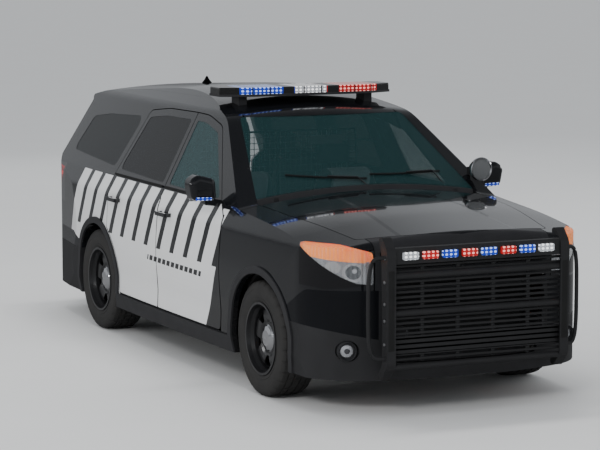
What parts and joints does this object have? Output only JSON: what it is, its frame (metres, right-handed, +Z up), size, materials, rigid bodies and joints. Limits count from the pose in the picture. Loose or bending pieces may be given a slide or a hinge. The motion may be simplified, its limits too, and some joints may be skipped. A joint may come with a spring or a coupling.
{
  "type": "police sport utility vehicle",
  "caption": "Full-size black and white police SUV with hinged doors, hood and liftgate, steered wheels, roof light bar, push bumper and furnished cabin.",
  "frame": {"origin": "on the ground under the middle of the overall length, on the centreline", "axes": "+X to the nose, +Y to the driver's left, +Z up"},
  "size_m": [5.1179, 2.2916, 1.8299],
  "materials": {
    "body_paint": "gloss",
    "frame_black": "satin",
    "trim_black": "satin",
    "grille_black": "satin",
    "window_clear": "clear",
    "window_dark": "dark tint",
    "lens_clear": "clear",
    "lens_red": "red",
    "lens_blue": "blue",
    "lamp_body": "polished",
    "tyre": "matt",
    "wheel_black": "gloss",
    "guard_black": "matt",
    "iron": "as cast",
    "engine_metal": "as cast",
    "exhaust_steel": "brushed",
    "cabin_black": "grained",
    "seat_cloth": "woven"
  },
  "bodies": {
    "chassis": {"underbody": "frame_black", "body_side_left": "body_paint", "body_side_right": "body_paint", "roof_panel": "body_paint", "cowl": "trim_black", "front_wings": "body_paint", "front_bumper": "trim_black", "grille": "grille_black", "headlamps": "lamp_body", "headlamp_lenses": "lens_clear", "tail_lamps": "lamp_body", "tail_lamp_lenses": "lens_red", "rear_bumper": "trim_black", "arch_mouldings": "trim_black", "fixed_glass": "window_clear", "push_bumper": "guard_black", "warning_lamps_red": "lens_red", "warning_lamps_blue": "lens_blue", "warning_lamps_clear": "lens_clear", "light_bar": "trim_black", "spotlight": "trim_black", "engine": "engine_metal", "subframes": "iron", "exhaust": "exhaust_steel", "dashboard": "cabin_black", "laptop": "cabin_black", "front_seats": "seat_cloth", "rear_seat": "cabin_black"},
    "steering_carrier_left": {"knuckle_left": "iron"},
    "steering_carrier_right": {"knuckle_right": "iron"},
    "wheel_front_left": {"tyre_front_left": "tyre", "rim_front_left": "wheel_black"},
    "wheel_front_right": {"tyre_front_right": "tyre", "rim_front_right": "wheel_black"},
    "wheel_rear_left": {"tyre_rear_left": "tyre", "rim_rear_left": "wheel_black"},
    "wheel_rear_right": {"tyre_rear_right": "tyre", "rim_rear_right": "wheel_black"},
    "front_door_left": {"door_front_left": "body_paint", "door_front_left_glass": "window_clear"},
    "front_door_right": {"door_front_right": "body_paint", "door_front_right_glass": "window_clear"},
    "rear_door_left": {"door_rear_left": "body_paint", "door_rear_left_glass": "window_dark"},
    "rear_door_right": {"door_rear_right": "body_paint", "door_rear_right_glass": "window_dark"},
    "tailgate": {"liftgate": "body_paint", "liftgate_glass": "window_dark"},
    "bonnet": {"hood": "body_paint"},
    "wheel_of_the_driver": {"steering_wheel": "cabin_black"}
  },
  "joints": [
    {"name": "steer_left", "type": "hinge", "parent": "chassis", "child": "steering_carrier_left", "pos_m": [1.497, 0.79, 0.363], "axis": [0, 0, 1], "range_deg": [-30, 30]},
    {"name": "steer_right", "type": "hinge", "parent": "chassis", "child": "steering_carrier_right", "pos_m": [1.497, -0.79, 0.363], "axis": [0, 0, 1], "range_deg": [-30, 30]},
    {"name": "steering_wheel_turn", "type": "hinge", "parent": "chassis", "child": "wheel_of_the_driver", "pos_m": [0.564, 0.378, 1.02], "axis": [-0.9135, 0, 0.4067], "range_deg": [-450, 450]},
    {"name": "spin_front_left", "type": "hinge", "parent": "steering_carrier_left", "child": "wheel_front_left", "pos_m": [1.497, 0.845, 0.363], "axis": [0, 1, 0], "continuous": true},
    {"name": "spin_front_right", "type": "hinge", "parent": "steering_carrier_right", "child": "wheel_front_right", "pos_m": [1.497, -0.845, 0.363], "axis": [0, 1, 0], "continuous": true},
    {"name": "spin_rear_left", "type": "hinge", "parent": "chassis", "child": "wheel_rear_left", "pos_m": [-1.363, 0.845, 0.363], "axis": [0, 1, 0], "continuous": true},
    {"name": "spin_rear_right", "type": "hinge", "parent": "chassis", "child": "wheel_rear_right", "pos_m": [-1.363, -0.845, 0.363], "axis": [0, 1, 0], "continuous": true},
    {"name": "front_door_left_swing", "type": "hinge", "parent": "chassis", "child": "front_door_left", "pos_m": [0.874, 0.9635, 0.71], "axis": [0, 0, -1], "range_deg": [0, 65]},
    {"name": "front_door_right_swing", "type": "hinge", "parent": "chassis", "child": "front_door_right", "pos_m": [0.874, -0.9635, 0.71], "axis": [0, 0, 1], "range_deg": [0, 65]},
    {"name": "rear_door_left_swing", "type": "hinge", "parent": "chassis", "child": "rear_door_left", "pos_m": [-0.193, 0.9716, 0.71], "axis": [0, 0, -1], "range_deg": [0, 70]},
    {"name": "rear_door_right_swing", "type": "hinge", "parent": "chassis", "child": "rear_door_right", "pos_m": [-0.193, -0.9716, 0.71], "axis": [0, 0, 1], "range_deg": [0, 70]},
    {"name": "tailgate_lift", "type": "hinge", "parent": "chassis", "child": "tailgate", "pos_m": [-2.203, 0, 1.659], "axis": [0, 1, 0], "range_deg": [0, 82]},
    {"name": "bonnet_lift", "type": "hinge", "parent": "chassis", "child": "bonnet", "pos_m": [1.074, 0, 1.144], "axis": [0, -1, 0], "range_deg": [0, 48]}
  ],
  "couplings": [
    {"joint": "steer_right", "follows": "steer_left", "ratio": 1},
    {"joint": "steering_wheel_turn", "follows": "steer_left", "ratio": 15}
  ]
}
